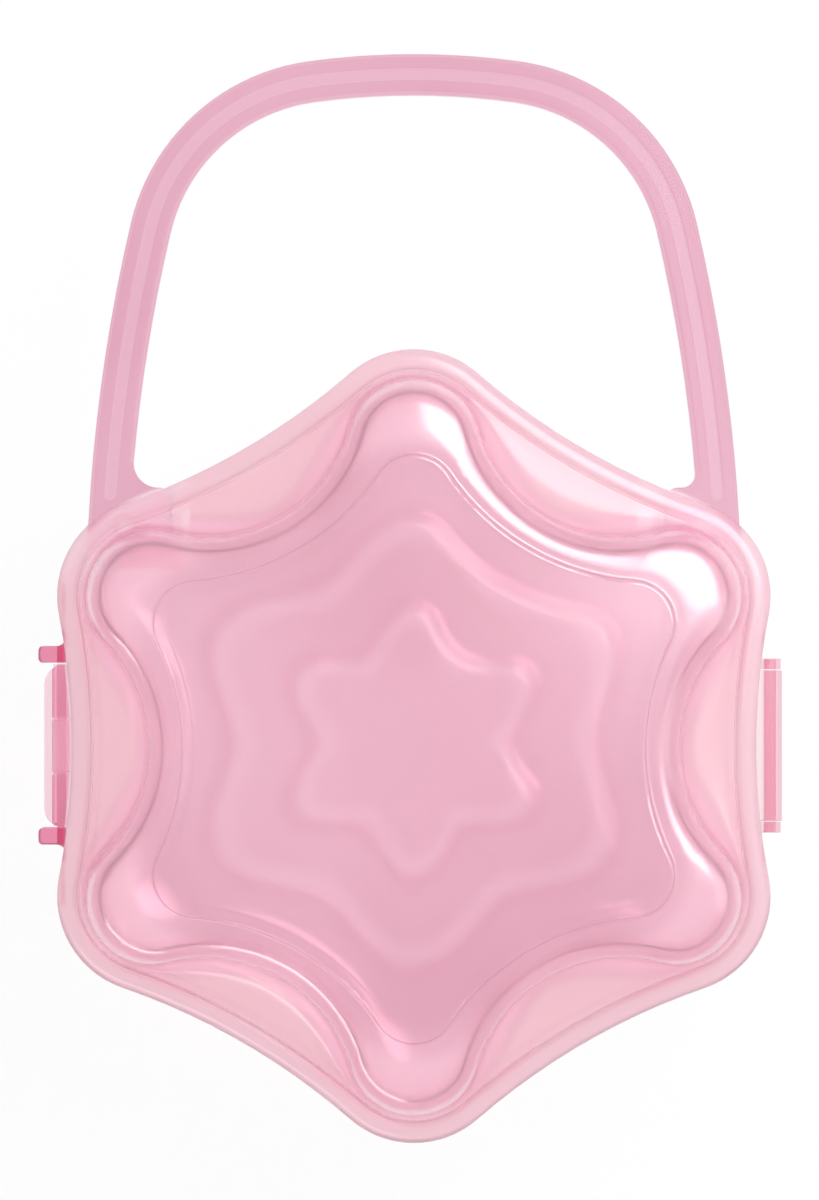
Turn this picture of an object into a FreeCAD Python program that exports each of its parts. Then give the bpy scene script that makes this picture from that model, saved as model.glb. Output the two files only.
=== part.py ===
import FreeCAD, Part
import math
import os
from collections import namedtuple
from FreeCAD import Vector

# A star outline: centre to point, how far a valley lies inside the points, rounding of a point
Star = namedtuple("Star", "reach dip tip_round")
POINT_COUNT = 6

# Star outlines, from the rim inwards to the smallest floor terrace
RIM_REACH = 45.8
RIM_DIP = 6.3
RIM_TIP_ROUND = 11.2
LEDGE_REACH = 3.6
FOOT_DIP = 11.7
FOOT_TIP_ROUND = 7.6
SLOPE_REACH = 8.1
CROWN_DIP = 7.1
CROWN_TIP_ROUND = 5.6
FACE_LIP = 0.7
MIDDLE_INSET = 5.9
MIDDLE_DIP = 5.3
MIDDLE_TIP_ROUND = 5.0
INNER_INSET = 10.7
INNER_DIP = 4.5
INNER_TIP_ROUND = 3.6

# Depths of the two shells, measured from their parting faces
BACK_DEPTH = 24.0
LID_DEPTH = 23.6
PARTING_GAP = 0.2
WALL = 1.6
RIM_HEIGHT = 5.6
RIM_WALL = 1.8
BEAD_ROUND = 1.6
BEAD_WIDTH = 2.6
BEAD_PROUD = 1.4
BEAD_INNER_ROUND = 0.8
FLARE_HEIGHT = 5.0
FLARE_UNDER = 0.2
FLARE_INNER_STEP = 0.9
WALL_DRAFT_SHARE = 0.12
SHOULDER_HEIGHT = 3.4
FACE_STEP = 0.9
FACE_RUN = 0.25
FACE_ROUND = 0.35
FLOOR_STEP = 0.8
FLOOR_RUN = 1.6
FLOOR_ROUND = 1.2
FLARE_SECTIONS = 4
SHOULDER_SECTIONS = 4

# Locating tongue on the back shell, inside the lid's rim
TONGUE_GAP = 0.25
TONGUE_WALL = 1.2
TONGUE_HEIGHT = 1.8

# Round ejector marks inside the lid's face, on every second star point
MARK_RADIUS = 0.6
MARK_DEPTH = 0.15
MARK_INSET = 1.8

# Lid hinge at the right valley
HINGE_STANDOFF = 0.1
BARREL_RADIUS = 1.4
BARREL_LENGTH = 17.4
HINGE_EAR_RADIUS = 1.25
HINGE_EAR_THICK = 1.2
HINGE_SIDE_GAP = 0.15
HINGE_ROOM = 0.25
HINGE_PIN_RADIUS = 0.65

# Latch at the left valley
CLASP_WIDTH = 18.8
CLASP_GAP = 0.25
CLASP_THICK = 1.45
CLASP_CORNER = 2.3
CLASP_BARREL_RADIUS = 1.0
CLASP_PIVOT_DROP = 4.2
CLASP_PIVOT_INSET = 0.7
CLASP_BAR = 1.6
LIP_REACH = 0.85
LIP_THICK = 1.1
LATCH_PIN_RADIUS = 0.5
LATCH_EAR_THICK = 1.9
LATCH_EAR_GAP = 0.2
LATCH_EAR_REACH = 3.2
LATCH_EAR_FLARE = 1.1
LATCH_EAR_FLARE_REACH = 1.2
LATCH_EAR_ROUND = 0.5
LATCH_EAR_TOP = 0.4
LATCH_EAR_BELOW = 1.5
CATCH_WIDTH = 6.0
CATCH_HEIGHT = 1.8
CATCH_RISE = 0.9
CATCH_CHAMFER = 0.5
CATCH_SIDE_GAP = 0.3
CATCH_TOP_GAP = 0.15
CATCH_LOW_GAP = 0.8

# Running fits of the two hinge pins, and the tight fit of pins and pegs in their seats
RUNNING_FIT = 0.05
SEAT_FIT = 0.03

# Carry handle: strap, arcs of its centreline and its two feet
STRAP_WIDTH = 4.75
STRAP_THICK = 3.0
STRAP_ROUND = 0.7
STRAP_BELOW_PARTING = 0.4
FOOT_OUT = 5.6
FOOT_UP = 4.8
FOOT_LEAN = math.radians(1.9)
LEG_RADIUS = 195.0
LEG_LENGTH = 38.4
SHOULDER_RADIUS = 22.2
TOP_RADIUS = 88.0
GROOVE_WIDTH = 1.25
GROOVE_DEPTH = 0.5
GROOVE_ROUND = 0.25
GROOVE_FOOT_RISE = 7.0
PAD_REACH = {"left": 7.2, "right": 6.2}
PAD_FILLET = {"left": 2.9, "right": 1.6}
PAD_CORNER = 1.2
PAD_PROUD = 1.4
FOOT_GAP = 0.15
BOSS_WALL = 1.3
BOSS_FLOOR = 1.3
PEG_RADIUS = 1.0
PEG_HEAD_RADIUS = 1.6
PEG_HEAD_HEIGHT = 0.8
PEG_DEPTH = 1.0
PEG_INWARD = 2.2
PEG_UP = 3.2

# Overlap that makes two solids join cleanly, and a margin for cutting tools
JOIN = 0.4
BEYOND = 1.0

HALF_STEP = math.pi / POINT_COUNT
FIRST_POINT = math.pi / 2
SIDES = {"left": -1, "right": 1}


def polar(radius, angle, z=0.0):
    return Vector(radius * math.cos(angle), radius * math.sin(angle), z)


def inset(star, width):
    return Star(star.reach - width, star.dip, star.tip_round - width)


def tip_centre_distance(star):
    return star.reach - star.tip_round


def valley_arc(star):
    # Centre distance and signed radius of the arc that joins two points through a valley
    valley = star.reach - star.dip
    tip_distance = tip_centre_distance(star)
    offset = star.tip_round - valley
    spread = offset + tip_distance * math.cos(HALF_STEP)
    distance = (tip_distance ** 2 - offset ** 2) / (2 * spread)
    return distance, distance - valley


def star_wire(star, z):
    # Six point arcs and six valley arcs, tangent to each other
    distance, valley_round = valley_arc(star)
    tip_centre = Vector(tip_centre_distance(star), 0, 0)
    valley_centre = polar(distance, HALF_STEP)
    share = star.tip_round / (valley_round + star.tip_round)
    join = tip_centre + (valley_centre - tip_centre) * share
    join_radius = join.Length
    join_angle = math.atan2(join.y, join.x)
    edges = []
    for index in range(POINT_COUNT):
        angle = FIRST_POINT + 2 * HALF_STEP * index
        before = polar(join_radius, angle - join_angle, z)
        tip = polar(star.reach, angle, z)
        after = polar(join_radius, angle + join_angle, z)
        valley = polar(star.reach - star.dip, angle + HALF_STEP, z)
        following = polar(join_radius, angle + 2 * HALF_STEP - join_angle, z)
        edges.append(Part.Arc(before, tip, after).toShape())
        edges.append(Part.Arc(after, valley, following).toShape())
    return Part.Wire(edges)


def star_side(star):
    # Furthest reach of the outline towards the hinge side
    return tip_centre_distance(star) * math.cos(HALF_STEP) + star.tip_round


def valley_edge(star, y):
    # How far out the outline lies at height y beside the valley
    distance, valley_round = valley_arc(star)
    return distance - math.copysign(math.sqrt(valley_round ** 2 - y ** 2), valley_round)


def prism(star, low, high):
    return Part.Face(star_wire(star, low)).extrude(Vector(0, 0, high - low))


def frustum(star, run, low, high):
    # Star block whose sides lean in by run from bottom to top
    return Part.makeLoft([star_wire(star, low), star_wire(inset(star, run), high)], True, True)


def edges_at(solid, z):
    return [e for e in solid.Edges if abs(e.BoundBox.ZMin - z) < 1e-6 and abs(e.BoundBox.ZMax - z) < 1e-6]


def middle_of(edge):
    return Part.Vertex(edge.valueAt((edge.FirstParameter + edge.LastParameter) / 2))


def edges_along(solid, star, z):
    # Edges of a solid that lie on a star outline at one height
    wire = star_wire(star, z)
    return [e for e in edges_at(solid, z) if middle_of(e).distToShape(wire)[0] < 1e-4]


def stepped(solid, star, run, step, level, rounding):
    # Raised terrace with a leaning side, rounded at its top edge and filleted at its foot
    block_low = level - JOIN
    lean = run / step
    terrace = frustum(inset(star, -lean * JOIN), run + lean * JOIN, block_low, level + step)
    terrace = terrace.makeFillet(rounding, edges_at(terrace, level + step))
    solid = fused(solid, [terrace])
    return solid.makeFillet(rounding, edges_along(solid, star, level))


def between(first, second, share):
    return Star(*(a + (b - a) * share for a, b in zip(first, second)))


def flank(edge, foot, crown, low, high):
    # Side of a dome: scooped flare from the ledge edge in to the foot, steep wall, rounded shoulder
    wires = []
    for index in range(FLARE_SECTIONS + 1):
        turn = math.pi / 2 * index / FLARE_SECTIONS
        section = between(edge, foot, math.sin(turn))
        wires.append(star_wire(section, low + FLARE_HEIGHT * (1 - math.cos(turn))))
    wall_top = between(foot, crown, WALL_DRAFT_SHARE)
    for index in range(SHOULDER_SECTIONS + 1):
        turn = math.pi / 2 * index / SHOULDER_SECTIONS
        section = between(wall_top, crown, 1 - math.cos(turn))
        wires.append(star_wire(section, high - SHOULDER_HEIGHT * (1 - math.sin(turn))))
    return Part.makeLoft(wires, True, False)


def carved(solid, blocks):
    for piece in blocks:
        solid = solid.cut(piece)
    return solid


def fused(first, others):
    return first.fuse(others).removeSplitter()


def cylinder_y(radius, x, z, low, high):
    return Part.makeCylinder(radius, high - low, Vector(x, low, z), Vector(0, 1, 0))


def block(low, high):
    size = [b - a for a, b in zip(low, high)]
    return Part.makeBox(*size, Vector(*low))


# Stars used by both shells
RIM = Star(RIM_REACH, RIM_DIP, RIM_TIP_ROUND)
FOOT = Star(RIM_REACH - LEDGE_REACH, FOOT_DIP, FOOT_TIP_ROUND)
CROWN = Star(FOOT.reach - SLOPE_REACH, CROWN_DIP, CROWN_TIP_ROUND)
FACE = inset(CROWN, FACE_LIP)
MIDDLE = Star(FACE.reach - MIDDLE_INSET, MIDDLE_DIP, MIDDLE_TIP_ROUND)
INNER = Star(MIDDLE.reach - INNER_INSET, INNER_DIP, INNER_TIP_ROUND)

# Levels: the back shell lies on its face at zero, and the lid closes onto it
PARTING = BACK_DEPTH
LID_BASE = PARTING + PARTING_GAP
HINGE_X = star_side(RIM) + HINGE_STANDOFF
HINGE_Z = PARTING + PARTING_GAP / 2
LEDGE_HEIGHT = RIM_HEIGHT - BEAD_PROUD
BACK_RIM_WALL = RIM_WALL + TONGUE_GAP + TONGUE_WALL


def dome_outside(depth):
    # Rim bead, scooped flank and raised face, rim face at zero and dome upwards
    crown_height = depth - FACE_STEP
    bead_edge = inset(RIM, BEAD_WIDTH)
    bead = prism(RIM, 0, RIM_HEIGHT).cut(prism(bead_edge, -BEYOND, RIM_HEIGHT + BEYOND))
    bead = bead.makeFillet(BEAD_ROUND, edges_along(bead, RIM, RIM_HEIGHT))
    bead = bead.makeFillet(BEAD_INNER_ROUND, edges_along(bead, bead_edge, RIM_HEIGHT))
    flare_edge = inset(bead_edge, -FLARE_UNDER)
    base = prism(flare_edge, 0, LEDGE_HEIGHT)
    solid = fused(bead, [base, flank(flare_edge, FOOT, CROWN, LEDGE_HEIGHT, crown_height)])
    return stepped(solid, FACE, FACE_RUN, FACE_STEP, crown_height, FACE_ROUND)


def dome_inside(depth, rim_wall):
    # Blocks that, taken out, leave one wall under the rim, the flank and the face
    low = LEDGE_HEIGHT - WALL
    hollow = prism(inset(RIM, rim_wall), -BEYOND, low)
    edge = inset(RIM, rim_wall + FLARE_INNER_STEP)
    level = depth - FACE_STEP - WALL
    side = flank(edge, inset(FOOT, WALL), inset(CROWN, WALL), low - JOIN, level)
    lean = FACE_RUN / FACE_STEP
    side_inset = WALL * math.tan(math.atan2(FACE_STEP, FACE_RUN) / 2)
    under = inset(FACE, side_inset - lean * JOIN)
    face = frustum(under, FACE_RUN + lean * JOIN, level - JOIN, level + FACE_STEP)
    return [hollow, side, face]


def hinge_room():
    half = BARREL_LENGTH / 2 + HINGE_SIDE_GAP + HINGE_EAR_THICK + HINGE_SIDE_GAP
    return cylinder_y(BARREL_RADIUS + HINGE_ROOM, HINGE_X, HINGE_Z, -half, half)


def hinge_bore(fit):
    reach = BARREL_LENGTH
    return cylinder_y(HINGE_PIN_RADIUS + fit, HINGE_X, HINGE_Z, -reach, reach)


def catch():
    # Block on the lid's rim that the clasp's bar holds down
    low = LID_BASE + CATCH_RISE
    half = CATCH_WIDTH / 2
    root = -(RIM.reach - RIM.dip - RIM_WALL / 2)
    tip = clasp_outside_x()
    solid = block((tip, -half, low), (root, half, low + CATCH_HEIGHT))
    lower_edge = [e for e in solid.Edges
                  if abs(e.BoundBox.XMax - tip) < 1e-6 and abs(e.BoundBox.ZMax - low) < 1e-6]
    return solid.makeChamfer(CATCH_CHAMFER, lower_edge)


def ejector_marks(face_underside):
    marks = []
    for index in range(0, POINT_COUNT, 2):
        angle = FIRST_POINT + 2 * HALF_STEP * index
        place = polar(FACE.reach - WALL - MARK_INSET, angle, face_underside - BEYOND)
        marks.append(Part.makeCylinder(MARK_RADIUS, BEYOND + MARK_DEPTH, place))
    return marks


def make_front_shell():
    shell = carved(dome_outside(LID_DEPTH), dome_inside(LID_DEPTH, RIM_WALL))
    shell = shell.cut(ejector_marks(LID_DEPTH - WALL))
    shell.translate(Vector(0, 0, LID_BASE))
    shell = shell.cut(hinge_room())
    half = BARREL_LENGTH / 2
    barrel = cylinder_y(BARREL_RADIUS, HINGE_X, HINGE_Z, -half, half)
    web_root = RIM.reach - RIM.dip - RIM_WALL / 2
    web = block((web_root, -half, LID_BASE), (HINGE_X, half, HINGE_Z + BARREL_RADIUS))
    shell = fused(shell, [barrel, web, catch()])
    return shell.cut(hinge_bore(RUNNING_FIT))


def hinge_ears():
    # Two ears on the back shell that carry the hinge pin beyond the lid's barrel
    web_root = RIM.reach - RIM.dip - RIM_WALL / 2
    ears = []
    for side in SIDES.values():
        near = side * (BARREL_LENGTH / 2 + HINGE_SIDE_GAP)
        far = side * (BARREL_LENGTH / 2 + HINGE_SIDE_GAP + HINGE_EAR_THICK)
        low, high = min(near, far), max(near, far)
        ears.append(cylinder_y(HINGE_EAR_RADIUS, HINGE_X, HINGE_Z, low, high))
        ears.append(block((web_root, low, HINGE_Z - HINGE_EAR_RADIUS), (HINGE_X, high, PARTING)))
    return ears


def clasp_inside_x():
    return -(valley_edge(RIM, CLASP_WIDTH / 2) + CLASP_GAP)


def clasp_outside_x():
    return clasp_inside_x() - CLASP_THICK


def clasp_pivot():
    return clasp_inside_x() - CLASP_PIVOT_INSET, PARTING - CLASP_PIVOT_DROP


def latch_ears():
    # Two guard ears on the back shell, flared at the root, that carry the clasp's pin
    pivot_x, pivot_z = clasp_pivot()
    near = CLASP_WIDTH / 2 + LATCH_EAR_GAP
    far = near + LATCH_EAR_THICK
    rim_x = -valley_edge(RIM, far)
    root = rim_x + BACK_RIM_WALL - JOIN
    tip = rim_x - LATCH_EAR_REACH
    flare_end = rim_x - LATCH_EAR_FLARE_REACH
    low = pivot_z - LATCH_EAR_BELOW
    high = PARTING - LATCH_EAR_TOP
    flare_top = far + LATCH_EAR_FLARE
    sag_x = flare_end + (rim_x - flare_end) * math.sin(math.pi / 4)
    sag_y = far + LATCH_EAR_FLARE * (1 - math.cos(math.pi / 4))
    ears = []
    for side in SIDES.values():
        outline = [(rim_x, flare_top), (root, flare_top), (root, near),
                   (tip, near), (tip, far), (flare_end, far)]
        points = [Vector(x, side * y, low) for x, y in outline]
        scoop = Part.Arc(points[-1], Vector(sag_x, side * sag_y, low), points[0]).toShape()
        face = Part.Face(Part.Wire([*Part.makePolygon(points).Edges, scoop]))
        ear = face.extrude(Vector(0, 0, high - low))
        tip_edges = [e for e in ear.Edges if abs(e.BoundBox.XMax - tip) < 1e-6 and e.BoundBox.YLength < 1e-6]
        ears.append(ear.makeFillet(LATCH_EAR_ROUND, tip_edges))
    return ears


def latch_bore(fit):
    pivot_x, pivot_z = clasp_pivot()
    return cylinder_y(LATCH_PIN_RADIUS + fit, pivot_x, pivot_z, -CLASP_WIDTH, CLASP_WIDTH)


def arc(centre, radius, start, end, side):
    # Arc in the handle's plane, mirrored to the left where side is negative
    points = []
    for angle in (start, (start + end) / 2, end):
        point = centre + polar(radius, angle)
        points.append(Vector(side * point.x, point.y, 0))
    return Part.Arc(*points).toShape()


# Centreline of the handle's right half, from the foot up to the middle of the top
LOBE = polar(tip_centre_distance(RIM), HALF_STEP)
STRAP_FOOT = LOBE + Vector(FOOT_OUT, FOOT_UP, 0)
LEG_CENTRE = STRAP_FOOT - polar(LEG_RADIUS, FOOT_LEAN)
LEG_END_LEAN = FOOT_LEAN + LEG_LENGTH / LEG_RADIUS
SHOULDER_CENTRE = LEG_CENTRE + polar(LEG_RADIUS - SHOULDER_RADIUS, LEG_END_LEAN)
TOP_DROP = math.sqrt((TOP_RADIUS - SHOULDER_RADIUS) ** 2 - SHOULDER_CENTRE.x ** 2)
TOP_CENTRE = Vector(0, SHOULDER_CENTRE.y - TOP_DROP, 0)
TOP_START = math.atan2(TOP_DROP, SHOULDER_CENTRE.x)
STRAP_HIGH = PARTING - STRAP_BELOW_PARTING
STRAP_LOW = STRAP_HIGH - STRAP_THICK
PAD_TOP = LOBE.y + RIM_TIP_ROUND + PAD_PROUD


def strap(width, low, high, foot_lean):
    # Band of one width that follows the centreline from foot to foot
    edges = []
    ends = {side: [] for side in SIDES.values()}
    for offset in (-width / 2, width / 2):
        for side in SIDES.values():
            leg = arc(LEG_CENTRE, LEG_RADIUS + offset, foot_lean, LEG_END_LEAN, side)
            edges.append(leg)
            edges.append(arc(SHOULDER_CENTRE, SHOULDER_RADIUS + offset, LEG_END_LEAN, TOP_START, side))
            ends[side].append(leg.valueAt(leg.FirstParameter))
        edges.append(arc(TOP_CENTRE, TOP_RADIUS + offset, TOP_START, math.pi - TOP_START, 1))
    for inner, outer in ends.values():
        edges.append(Part.makeLine(inner, outer))
    face = Part.Face(Part.Wire(Part.__sortEdges__(edges)))
    solid = face.extrude(Vector(0, 0, high - low))
    solid.translate(Vector(0, 0, low))
    return solid


def foot_pad(side_name, grow, low, high):
    # Widened foot of the strap with a fillet up into the leg
    side = SIDES[side_name]
    inner = STRAP_FOOT.x - PAD_REACH[side_name] - grow
    outer = STRAP_FOOT.x
    bottom = STRAP_FOOT.y - grow
    top = PAD_TOP + grow
    plate = block((inner, bottom, low), (outer, top, high))
    inner_edges = [e for e in plate.Edges
                   if abs(e.BoundBox.XMax - inner) < 1e-6 and e.BoundBox.ZLength > STRAP_ROUND]
    plate = plate.makeFillet(PAD_CORNER, inner_edges)
    fillet = PAD_FILLET[side_name]
    leg_radius = LEG_RADIUS - STRAP_WIDTH / 2 - grow
    rise = top + fillet - LEG_CENTRE.y
    leg_edge = LEG_CENTRE.x + math.sqrt(leg_radius ** 2 - rise ** 2)
    web = block((leg_edge - fillet, top - JOIN, low), (outer, top + fillet, high))
    scoop = Part.makeCylinder(fillet, high - low, Vector(leg_edge - fillet, top + fillet, low))
    pad = plate.fuse(web.cut(scoop)).removeSplitter()
    return pad if side > 0 else pad.mirror(Vector(0, 0, 0), Vector(1, 0, 0))


def peg_place(side, z):
    return Vector(side * (STRAP_FOOT.x - PEG_INWARD), STRAP_FOOT.y + PEG_UP, z)


def peg(side, fit):
    # Headed peg that pins a foot into the back shell, head flush with the strap
    bottom = STRAP_LOW - PEG_DEPTH - fit
    seat = STRAP_HIGH - PEG_HEAD_HEIGHT - fit
    shank = Part.makeCylinder(PEG_RADIUS + fit, seat - bottom + JOIN, peg_place(side, bottom))
    head = Part.makeCylinder(PEG_HEAD_RADIUS + fit, STRAP_HIGH - seat, peg_place(side, seat))
    return shank.fuse(head).removeSplitter()


def groove():
    # Shallow channel along the strap's front face, round at both ends
    lean = math.asin((STRAP_FOOT.y + GROOVE_FOOT_RISE - LEG_CENTRE.y) / LEG_RADIUS)
    low = STRAP_HIGH - GROOVE_DEPTH
    high = STRAP_HIGH + BEYOND
    channel = strap(GROOVE_WIDTH, low, high, lean)
    end = LEG_CENTRE + polar(LEG_RADIUS, lean)
    ends = [Part.makeCylinder(GROOVE_WIDTH / 2, high - low, Vector(side * end.x, end.y, low))
            for side in SIDES.values()]
    return channel.fuse(ends)


def make_carry_handle():
    band = strap(STRAP_WIDTH, STRAP_LOW, STRAP_HIGH, FOOT_LEAN)
    long_edges = [e for z in (STRAP_LOW, STRAP_HIGH) for e in edges_at(band, z)
                  if e.Length > STRAP_WIDTH + JOIN]
    band = band.makeFillet(STRAP_ROUND, long_edges)
    handle = fused(band, [foot_pad(name, 0, STRAP_LOW, STRAP_HIGH) for name in SIDES])
    channel = groove()
    handle = handle.cut(channel)
    rim = [e for e in edges_at(handle, STRAP_HIGH) if middle_of(e).distToShape(channel)[0] < 1e-4]
    handle = handle.makeFillet(GROOVE_ROUND, rim)
    return handle.cut([peg(side, SEAT_FIT) for side in SIDES.values()])


def foot_pockets():
    # Pockets in the back shell's rim, open towards the lid, that the handle's feet drop into
    top = PARTING + TONGUE_HEIGHT + BEYOND
    low = STRAP_LOW - SEAT_FIT
    pockets = [strap(STRAP_WIDTH + 2 * FOOT_GAP, low, top, FOOT_LEAN - FOOT_GAP / LEG_RADIUS)]
    for name in SIDES:
        pockets.append(foot_pad(name, FOOT_GAP, low, top))
    return pockets


def foot_bosses(solid_back):
    # Rim filled solid around the two feet
    bosses = []
    for name, side in SIDES.items():
        inner = side * (STRAP_FOOT.x - PAD_REACH[name] - FOOT_GAP - BOSS_WALL)
        outer = side * RIM_REACH
        low = (min(inner, outer), STRAP_FOOT.y - FOOT_GAP - BOSS_WALL, STRAP_LOW - BOSS_FLOOR)
        high = (max(inner, outer), RIM_REACH, PARTING)
        bosses.append(block(low, high).common(solid_back))
    return bosses


def make_back_shell():
    outside = dome_outside(BACK_DEPTH)
    inside = dome_inside(BACK_DEPTH, BACK_RIM_WALL)
    for solid in (outside, *inside):
        solid.rotate(Vector(0, 0, 0), Vector(1, 0, 0), 180)
        solid.translate(Vector(0, 0, PARTING))
    shell = carved(outside, inside)
    level = WALL
    for star in (MIDDLE, INNER):
        shell = stepped(shell, star, FLOOR_RUN, FLOOR_STEP, level, FLOOR_ROUND)
        level += FLOOR_STEP
    tongue_star = inset(RIM, RIM_WALL + TONGUE_GAP)
    tongue_top = PARTING + TONGUE_HEIGHT
    tongue = prism(tongue_star, PARTING - JOIN, tongue_top)
    tongue = tongue.cut(prism(inset(tongue_star, TONGUE_WALL), PARTING - BEYOND, tongue_top + BEYOND))
    shell = fused(shell, [tongue] + foot_bosses(outside))
    shell = shell.cut([hinge_room()] + foot_pockets())
    shell = fused(shell, hinge_ears() + latch_ears())
    seats = [peg(side, SEAT_FIT) for side in SIDES.values()]
    return shell.cut([hinge_bore(SEAT_FIT), latch_bore(SEAT_FIT)] + seats)


def make_hinge_pin():
    half = BARREL_LENGTH / 2 + HINGE_SIDE_GAP + HINGE_EAR_THICK
    return cylinder_y(HINGE_PIN_RADIUS, HINGE_X, HINGE_Z, -half, half)


def make_latch_pin():
    pivot_x, pivot_z = clasp_pivot()
    half = CLASP_WIDTH / 2 + LATCH_EAR_GAP + LATCH_EAR_THICK
    return cylinder_y(LATCH_PIN_RADIUS, pivot_x, pivot_z, -half, half)


def make_latch_clasp():
    # Plate that follows the rim's valley, with a window for the catch and a thumb lip on top
    pivot_x, pivot_z = clasp_pivot()
    half = CLASP_WIDTH / 2
    catch_low = LID_BASE + CATCH_RISE
    bar_low = catch_low + CATCH_HEIGHT + CATCH_TOP_GAP
    top = bar_low + CLASP_BAR
    outside = clasp_outside_x()
    valley_x = -(RIM.reach - RIM.dip)
    plate = block((outside, -half, pivot_z), (valley_x, half, top))
    lip = block((outside - LIP_REACH, -half, top - LIP_THICK), (valley_x, half, top))
    barrel = cylinder_y(CLASP_BARREL_RADIUS, pivot_x, pivot_z, -half, half)
    window_half = CATCH_WIDTH / 2 + CATCH_SIDE_GAP
    window = block((outside - BEYOND, -window_half, catch_low - CATCH_LOW_GAP),
                   (valley_x + BEYOND, window_half, bar_low))
    clasp = plate.fuse(lip).cut(window)
    clasp = clasp.cut(prism(inset(RIM, -CLASP_GAP), pivot_z - BEYOND, top + BEYOND))
    plan = block((outside - LIP_REACH, -half, pivot_z - BEYOND), (valley_x + BEYOND, half, top + BEYOND))
    outer_corners = [e for e in plan.Edges
                     if abs(e.BoundBox.XMax - plan.BoundBox.XMin) < 1e-6 and e.BoundBox.YLength < 1e-6]
    clasp = clasp.common(plan.makeFillet(CLASP_CORNER, outer_corners))
    clasp = clasp.fuse(barrel).removeSplitter()
    return clasp.cut(latch_bore(RUNNING_FIT))


def export(node, shape):
    solid = shape.Solids[0]
    solid.exportStep("parts/" + node + ".step")
    print(node, "solids", len(shape.Solids), "valid", solid.isValid(), "mm3", round(solid.Volume, 1))


os.makedirs("parts", exist_ok=True)
export("back_shell", make_back_shell())
export("front_shell", make_front_shell())
export("carry_handle", make_carry_handle())
export("handle_peg_left", peg(SIDES["left"], 0))
export("handle_peg_right", peg(SIDES["right"], 0))
export("hinge_pin", make_hinge_pin())
export("latch_clasp", make_latch_clasp())
export("latch_pin", make_latch_pin())
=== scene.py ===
import math
import bpy
from collections import namedtuple
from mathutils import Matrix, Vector


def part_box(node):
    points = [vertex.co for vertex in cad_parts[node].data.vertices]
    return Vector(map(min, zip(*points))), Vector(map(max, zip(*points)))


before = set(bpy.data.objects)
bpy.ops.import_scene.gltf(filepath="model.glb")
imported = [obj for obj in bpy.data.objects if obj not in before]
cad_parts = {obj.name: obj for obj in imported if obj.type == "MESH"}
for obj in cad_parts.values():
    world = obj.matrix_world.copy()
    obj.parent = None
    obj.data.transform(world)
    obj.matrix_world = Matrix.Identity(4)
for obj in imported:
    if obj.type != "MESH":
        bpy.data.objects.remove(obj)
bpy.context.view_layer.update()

scene = bpy.context.scene

# Camera: straight above the closed case, as in the photograph
PICTURE_HEIGHT = 0.1391
CAMERA_HEIGHT = 0.9
CAMERA_X = -0.0005
CAMERA_Y = 0.01686
SENSOR = 36.0
CLIP_END = 20.0
TONGUE_HEIGHT = 0.0018
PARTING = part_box("back_shell")[1][2] - TONGUE_HEIGHT

# Studio: pale floor and white surround
FLOOR_SIZE = 4.0
FLOOR_DROP = 0.0003
FLOOR_PAPER = (0.95, 0.95, 0.95)
FLOOR_WHITE_SHARE = 0.95
WORLD_FILL = 0.2
LIGHT_BOUNCES = 48

# Soft lamps: where each stands, the point it faces, its size and its radiance
Lamp = namedtuple("Lamp", "place aim width height radiance")
LAMPS = {
    "key_softbox": Lamp((0.1655, 0.1860, 0.30), (0.1655, 0.1860, 0.0), 0.269, 0.328, 7.0),
    "right_strip": Lamp((0.660, -0.058, 0.38), (0.0, 0.0, 0.03), 0.35, 0.45, 1.5),
    "left_strip": Lamp((-0.404, -0.577, 0.287), (0.0, 0.0, 0.03), 0.75, 0.08, 9.0),
}

# Moulded plastic: surface tint, light that one metre takes out, haze, share that passes, gloss
Plastic = namedtuple("Plastic", "tint loss roughness transmission coat")
SHELL = Plastic((0.884, 0.649, 0.727), (2.0, 8.0, 5.0), 0.45, 0.97, 1.0)
HANDLE = Plastic((0.787, 0.452, 0.562), (2.0, 8.0, 5.0), 0.06, 0.97, 0.12)
CLASP = Plastic((0.945, 0.790, 0.838), (8.0, 80.0, 50.0), 0.06, 0.97, 0.5)
PIN = Plastic((0.990, 0.950, 0.965), (2.0, 8.0, 5.0), 0.06, 0.97, 0.5)
PLASTIC_IOR = 1.02
COAT_IOR = 1.8
COAT_ROUGHNESS = 0.2
# Clouding: random tone, shifted so that its pale patches sit where light pools inside the case, a painted
# pool of light
CLOUD_SCALE = 26.0
CLOUD_SHIFT_TO_LIGHT_POOL = (8.494, 0.355, 0.0)
CLOUD_DEEP = (0.950, 0.885, 0.910)
CLOUD_SPAN = (0.35, 0.65)
NOISE_DETAIL = 2.0
POLISH_SPAN = (0.9, 1.1)
GRAIN_SCALE = 220.0
GRAIN_HEIGHT = 0.0002
GRAIN_STRENGTH = 0.015

# Star lines in plan: mean radius and swing between valley and point
StarLine = namedtuple("StarLine", "mean swing")
POINT_COUNT = 6
RIM_LINE = StarLine(0.04265, 0.00315)

# Bead of the shells, painted pale as painted light: tint, and how far in from the rim line it ends
PAINTED_LIGHT_RIM_TINT = (0.932, 0.778, 0.815)
RIM_BAND = (0.0022, 0.0034)

# Share of the gloss near the parting, and the heights from it over which the gloss comes back
LEDGE_COAT = 0.4
LEDGE_BAND = (0.0060, 0.0120)

# Flank of the domes, between the crown line and the foot line, and ledges beyond it, painted paler than
# the faces: painted light on the steep walls and ledges
CROWN_LINE = StarLine(0.03055, 0.00355)
FOOT_LINE = StarLine(0.03635, 0.00585)
PAINTED_LIGHT_FLANK_TINT = (0.955, 0.725, 0.798)
PAINTED_LIGHT_LEDGE_TINT = (0.938, 0.742, 0.785)
FLANK_BLEND = 0.0020
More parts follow.
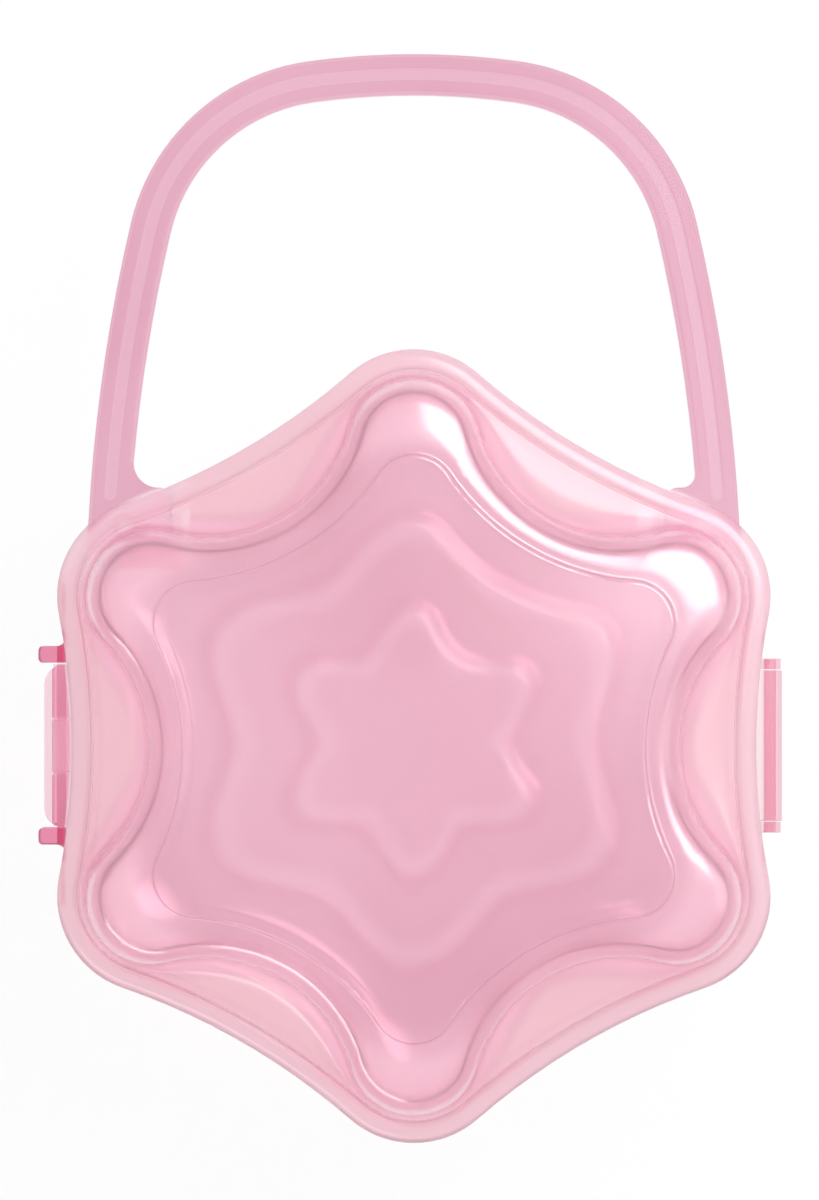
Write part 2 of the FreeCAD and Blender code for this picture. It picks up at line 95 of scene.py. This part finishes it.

# Painted shade (deep lines) and painted highlight (pale lines) along the steps of the two stars of the
# floor
PAINTED_SHADE_LINES = (StarLine(0.0246, 0.0027), StarLine(0.0144, 0.0023))
PAINTED_HIGHLIGHT_LINES = (StarLine(0.0226, 0.0026), StarLine(0.0124, 0.0022))
PAINTED_SHADE_LINE_TINT = (0.835, 0.530, 0.640)
PAINTED_HIGHLIGHT_LINE_TINT = (0.925, 0.730, 0.795)
LINE_WIDTH = 0.0020
FLOOR_TOP = 0.0050

# Feet of the handle, pale where they sit inside the rim line
FOOT_TINT = (0.960, 0.820, 0.880)
FOOT_BAND = (0.0002, 0.0010)

# Small blocks that lie behind other walls and are paler for it: the bosses of the feet and the catch
Box = namedtuple("Box", "x y z")
BLOCK_TINT = (0.985, 0.930, 0.950)
BLOCKS = (Box((-0.047, -0.0260), (0.0198, 0.0310), (0.0186, 0.0239)),
          Box((0.0260, 0.047), (0.0198, 0.0310), (0.0186, 0.0239)),
          Box((-0.044, -0.0390), (-0.0032, 0.0032), (0.0248, 0.0274)))

# Middle of the clasp, above and below the catch, paler as the layers lie one over the other there
WINDOW_TINT = (0.960, 0.835, 0.875)
WINDOW = Box((-0.0417, -0.0385), (-0.0033, 0.0033), (0.0180, 0.0310))

# Rounded edges and groove of the strap, painted paler than its flat front as a painted highlight
PAINTED_HIGHLIGHT_EDGE_TINT = (0.830, 0.530, 0.640)
EDGE_Z = (0.0228, 0.02352)

# Side fittings moulded onto the shells, outside the rim, where the plastic is thick and deep in colour
FITTING_TINT = (0.821, 0.275, 0.424)
FITTING_X = (0.0401, 0.0408)
EAR_Y = (0.0090, 0.0094)
FITTING_Y = (0.0130, 0.0136)
BARREL_SHARE = 0.4


def seen_directly(tree):
    # One for camera, mirror and see-through rays, zero for the light that falls on things
    path = tree.nodes.new("ShaderNodeLightPath")
    shown = math_node(tree, "MAXIMUM", path.outputs["Is Camera Ray"], path.outputs["Is Glossy Ray"])
    return math_node(tree, "MAXIMUM", shown, path.outputs["Is Transmission Ray"])


def make_world():
    world = bpy.data.worlds.new("studio")
    world.use_nodes = True
    tree = world.node_tree
    tree.nodes.clear()
    mix = tree.nodes.new("ShaderNodeMixShader")
    output = tree.nodes.new("ShaderNodeOutputWorld")
    tree.links.new(seen_directly(tree), mix.inputs[0])
    for socket, strength in ((1, WORLD_FILL), (2, 1.0)):
        sky = tree.nodes.new("ShaderNodeBackground")
        sky.inputs["Color"].default_value = (1, 1, 1, 1)
        sky.inputs["Strength"].default_value = strength
        tree.links.new(sky.outputs[0], mix.inputs[socket])
    tree.links.new(mix.outputs[0], output.inputs["Surface"])
    scene.world = world


def floor_paper():
    material = bpy.data.materials.new("floor_paper")
    material.use_nodes = True
    tree = material.node_tree
    tree.nodes.clear()
    paper = tree.nodes.new("ShaderNodeBsdfDiffuse")
    paper.inputs["Color"].default_value = (*FLOOR_PAPER, 1)
    white = tree.nodes.new("ShaderNodeEmission")
    white.inputs["Strength"].default_value = 1.0
    share = math_node(tree, "MULTIPLY", seen_directly(tree), FLOOR_WHITE_SHARE)
    mix = tree.nodes.new("ShaderNodeMixShader")
    output = tree.nodes.new("ShaderNodeOutputMaterial")
    tree.links.new(share, mix.inputs[0])
    tree.links.new(paper.outputs[0], mix.inputs[1])
    tree.links.new(white.outputs[0], mix.inputs[2])
    tree.links.new(mix.outputs[0], output.inputs["Surface"])
    return material


def make_floor():
    half = FLOOR_SIZE / 2
    corners = [(-half, -half), (half, -half), (half, half), (-half, half)]
    mesh = bpy.data.meshes.new("floor")
    mesh.from_pydata([(x, y, -FLOOR_DROP) for x, y in corners], [], [(0, 1, 2, 3)])
    mesh.materials.append(floor_paper())
    floor = bpy.data.objects.new("floor", mesh)
    scene.collection.objects.link(floor)


def make_lamp(name, lamp):
    data = bpy.data.lights.new(name, "AREA")
    data.shape = "RECTANGLE"
    data.size = lamp.width
    data.size_y = lamp.height
    data.energy = lamp.radiance * math.pi * lamp.width * lamp.height
    light = bpy.data.objects.new(name, data)
    light.location = lamp.place
    away = Vector(lamp.place) - Vector(lamp.aim)
    light.rotation_euler = away.to_track_quat("Z", "Y").to_euler()
    scene.collection.objects.link(light)


def make_camera():
    data = bpy.data.cameras.new("camera")
    data.sensor_width = SENSOR
    data.lens = SENSOR * CAMERA_HEIGHT / PICTURE_HEIGHT
    data.clip_end = CLIP_END
    camera = bpy.data.objects.new("camera", data)
    camera.location = (CAMERA_X, CAMERA_Y, PARTING + CAMERA_HEIGHT)
    scene.collection.objects.link(camera)
    scene.camera = camera


def map_range(tree, source, low, high, to_low, to_high):
    node = tree.nodes.new("ShaderNodeMapRange")
    node.inputs["From Min"].default_value = low
    node.inputs["From Max"].default_value = high
    node.inputs["To Min"].default_value = to_low
    node.inputs["To Max"].default_value = to_high
    tree.links.new(source, node.inputs["Value"])
    return node.outputs["Result"]


def math_node(tree, operation, *sources):
    # Sources are sockets or plain numbers
    node = tree.nodes.new("ShaderNodeMath")
    node.operation = operation
    for index, source in enumerate(sources):
        if isinstance(source, (int, float)):
            node.inputs[index].default_value = source
        else:
            tree.links.new(source, node.inputs[index])
    return node.outputs[0]


def noise(tree, place, scale):
    node = tree.nodes.new("ShaderNodeTexNoise")
    node.inputs["Scale"].default_value = scale
    node.inputs["Detail"].default_value = NOISE_DETAIL
    tree.links.new(place, node.inputs["Vector"])
    return node.outputs["Fac"]


def inside_line(tree, split, line):
    # How far a place lies inside a star line
    x, y = split.outputs["X"], split.outputs["Y"]
    squares = [math_node(tree, "MULTIPLY", side, side) for side in (x, y)]
    radius = math_node(tree, "SQRT", math_node(tree, "ADD", *squares))
    turns = math_node(tree, "MULTIPLY", math_node(tree, "ARCTAN2", x, y), POINT_COUNT)
    wave = math_node(tree, "MULTIPLY", math_node(tree, "COSINE", turns), line.swing)
    return math_node(tree, "SUBTRACT", math_node(tree, "ADD", wave, line.mean), radius)


# Painted light on the bead along the rim
def painted_light_rim_mask(tree, split):
    return map_range(tree, inside_line(tree, split, RIM_LINE), *RIM_BAND, 1.0, 0.0)


def foot_mask(tree, split):
    return map_range(tree, inside_line(tree, split, RIM_LINE), *FOOT_BAND, 0.0, 1.0)


def between(tree, value, low, high):
    # One inside a range, zero outside
    above = math_node(tree, "GREATER_THAN", value, low)
    return math_node(tree, "MULTIPLY", above, math_node(tree, "LESS_THAN", value, high))


def box_mask(tree, split, box):
    sides = [between(tree, split.outputs[axis], *getattr(box, axis.lower())) for axis in "XYZ"]
    return math_node(tree, "MULTIPLY", math_node(tree, "MULTIPLY", *sides[:2]), sides[2])


def block_mask(tree, split):
    masks = [box_mask(tree, split, box) for box in BLOCKS]
    return math_node(tree, "MAXIMUM", math_node(tree, "MAXIMUM", *masks[:2]), masks[2])


def window_mask(tree, split):
    return box_mask(tree, split, WINDOW)


# Painted highlight on the strap's edges and groove
def painted_highlight_edge_mask(tree, split):
    return between(tree, split.outputs["Z"], *EDGE_Z)


def ledge_gloss(tree, split):
    # Full gloss towards the faces, less near the parting of the shells
    height = math_node(tree, "ABSOLUTE", math_node(tree, "SUBTRACT", split.outputs["Z"], PARTING))
    return map_range(tree, height, *LEDGE_BAND, LEDGE_COAT, 1.0)


def shade_and_highlight_lines(tree, split, lines):
    # One on the steps of the floor's stars, fading to zero beside them: where painted shade and painted
    # highlight are laid
    masks = []
    for line in lines:
        away = math_node(tree, "ABSOLUTE", inside_line(tree, split, line))
        masks.append(map_range(tree, away, 0.0, LINE_WIDTH, 1.0, 0.0))
    on_floor = math_node(tree, "LESS_THAN", split.outputs["Z"], FLOOR_TOP)
    return math_node(tree, "MULTIPLY", math_node(tree, "MAXIMUM", *masks), on_floor)


# Painted shade along the steps of the floor's stars
def painted_shade_line_mask(tree, split):
    return shade_and_highlight_lines(tree, split, PAINTED_SHADE_LINES)


# Painted highlight along the steps of the floor's stars
def painted_highlight_line_mask(tree, split):
    return shade_and_highlight_lines(tree, split, PAINTED_HIGHLIGHT_LINES)


def painted_light_flank_mask(tree, split):
    # One between the crown line and the foot line, zero on faces and ledges; painted light lightens the
    # flank there
    beyond_crown = map_range(tree, inside_line(tree, split, CROWN_LINE), 0.0, -FLANK_BLEND, 0.0, 1.0)
    within_foot = map_range(tree, inside_line(tree, split, FOOT_LINE), -FLANK_BLEND, 0.0, 0.0, 1.0)
    return math_node(tree, "MULTIPLY", beyond_crown, within_foot)


# Painted light on the ledges beyond the foot line
def painted_light_ledge_mask(tree, split):
    return map_range(tree, inside_line(tree, split, FOOT_LINE), 0.0, -FLANK_BLEND, 0.0, 1.0)


def fitting_mask(tree, split):
    # One on the latch ears, part on the hinge barrel, zero on the shells
    near, far = FITTING_X
    height = math_node(tree, "ABSOLUTE", split.outputs["Y"])
    left = map_range(tree, split.outputs["X"], -near, -far, 0.0, 1.0)
    ears = math_node(tree, "MULTIPLY", left, map_range(tree, height, *EAR_Y, 0.0, 1.0))
    right = map_range(tree, split.outputs["X"], near, far, 0.0, BARREL_SHARE)
    low = map_range(tree, height, *FITTING_Y, 1.0, 0.0)
    return math_node(tree, "MULTIPLY", math_node(tree, "ADD", ears, right), low)


def mixed(tree, mask, first, tint):
    # Colour socket with a plain tint laid over it where the mask is one
    mix = tree.nodes.new("ShaderNodeMix")
    mix.data_type = "RGBA"
    mix.inputs["B"].default_value = (*tint, 1)
    tree.links.new(mask, mix.inputs["Factor"])
    tree.links.new(first, mix.inputs["A"])
    return mix.outputs["Result"]


def cloud_and_light_pool_noise(tree, split):
    # Slow clouding in plan, the same through the whole depth of a piece, shifted so that its pale patches
    # lie where light pools inside the case: partly random tone, partly a painted pool of light
    plan = tree.nodes.new("ShaderNodeCombineXYZ")
    for axis in ("X", "Y"):
        tree.links.new(split.outputs[axis], plan.inputs[axis])
    shift = tree.nodes.new("ShaderNodeVectorMath")
    shift.inputs[1].default_value = CLOUD_SHIFT_TO_LIGHT_POOL
    tree.links.new(plan.outputs[0], shift.inputs[0])
    return noise(tree, shift.outputs[0], CLOUD_SCALE)


def clouded(tree, cloud, tint):
    # Colour socket that runs from a deeper shade to the tint itself
    ramp = tree.nodes.new("ShaderNodeValToRGB")
    deeper = [part * share for part, share in zip(tint, CLOUD_DEEP)]
    for element, stop, shade in zip(ramp.color_ramp.elements, CLOUD_SPAN, (deeper, tint)):
        element.position = stop
        element.color = (*shade, 1)
    tree.links.new(cloud, ramp.inputs["Fac"])
    return ramp.outputs["Color"]


def grain(tree, place):
    relief = tree.nodes.new("ShaderNodeBump")
    relief.inputs["Strength"].default_value = GRAIN_STRENGTH
    relief.inputs["Distance"].default_value = GRAIN_HEIGHT
    tree.links.new(noise(tree, place, GRAIN_SCALE), relief.inputs["Height"])
    return relief.outputs["Normal"]


def outer_gloss(tree, weight):
    # Clear coat on the outer side of a wall only
    inner_side = tree.nodes.new("ShaderNodeNewGeometry").outputs["Backfacing"]
    return map_range(tree, inner_side, 0.0, 1.0, weight, 0.0)


def depth_colour(tree, loss):
    # Colour that deepens with thickness
    depth = tree.nodes.new("ShaderNodeVolumeAbsorption")
    strongest = max(loss)
    depth.inputs["Density"].default_value = strongest
    depth.inputs["Color"].default_value = (*(1 - part / strongest for part in loss), 1)
    return depth.outputs["Volume"]


def plastic(name, spec, overlays=(), gloss=None):
    # Clear moulded plastic: faint clouding with a painted pool of light, uneven polish, tints laid over
    # in places, among them painted light, painted shade and painted highlights
    material = bpy.data.materials.new(name)
    material.use_nodes = True
    tree = material.node_tree
    tree.nodes.clear()
    place = tree.nodes.new("ShaderNodeTexCoord").outputs["Object"]
    split = tree.nodes.new("ShaderNodeSeparateXYZ")
    tree.links.new(place, split.inputs[0])
    cloud = cloud_and_light_pool_noise(tree, split)
    colour = clouded(tree, cloud, spec.tint)
    for mask, tint in overlays:
        colour = mixed(tree, mask(tree, split), colour, tint)
    smooth, rough = (spec.roughness * share for share in POLISH_SPAN)
    polish = map_range(tree, cloud, 0.0, 1.0, smooth, rough)
    coat = outer_gloss(tree, spec.coat)
    if gloss:
        coat = math_node(tree, "MULTIPLY", coat, gloss(tree, split))
    shader = tree.nodes.new("ShaderNodeBsdfPrincipled")
    shader.inputs["IOR"].default_value = PLASTIC_IOR
    shader.inputs["Transmission Weight"].default_value = spec.transmission
    shader.inputs["Coat Roughness"].default_value = COAT_ROUGHNESS
    shader.inputs["Coat IOR"].default_value = COAT_IOR
    tree.links.new(colour, shader.inputs["Base Color"])
    tree.links.new(polish, shader.inputs["Roughness"])
    tree.links.new(coat, shader.inputs["Coat Weight"])
    tree.links.new(grain(tree, place), shader.inputs["Normal"])
    output = tree.nodes.new("ShaderNodeOutputMaterial")
    tree.links.new(shader.outputs["BSDF"], output.inputs["Surface"])
    tree.links.new(depth_colour(tree, spec.loss), output.inputs["Volume"])
    return material


def dress(material, *nodes):
    for node in nodes:
        materials = bpy.data.objects[node].data.materials
        for index in range(len(materials)):
            materials[index] = material


scene.view_settings.view_transform = "Standard"
scene.cycles.max_bounces = LIGHT_BOUNCES
scene.cycles.transmission_bounces = LIGHT_BOUNCES
make_world()
make_floor()
for lamp_name, lamp in LAMPS.items():
    make_lamp(lamp_name, lamp)
make_camera()
# Shell tints: painted shade and highlight on the floor lines, painted light on flanks, ledges and bead
shell_overlays = [(painted_shade_line_mask, PAINTED_SHADE_LINE_TINT), (painted_highlight_line_mask, PAINTED_HIGHLIGHT_LINE_TINT),
                  (painted_light_flank_mask, PAINTED_LIGHT_FLANK_TINT), (painted_light_ledge_mask, PAINTED_LIGHT_LEDGE_TINT), (painted_light_rim_mask, PAINTED_LIGHT_RIM_TINT),
                  (fitting_mask, FITTING_TINT), (block_mask, BLOCK_TINT)]
dress(plastic("shell_plastic", SHELL, shell_overlays, ledge_gloss), "back_shell", "front_shell")
# Handle tints: painted highlight on the strap's edges and groove
handle_overlays = [(painted_highlight_edge_mask, PAINTED_HIGHLIGHT_EDGE_TINT), (foot_mask, FOOT_TINT)]
dress(plastic("handle_plastic", HANDLE, handle_overlays), "carry_handle")
dress(plastic("clasp_plastic", CLASP, [(window_mask, WINDOW_TINT)]), "latch_clasp")
dress(plastic("pin_plastic", PIN), "hinge_pin", "latch_pin", "handle_peg_left", "handle_peg_right")
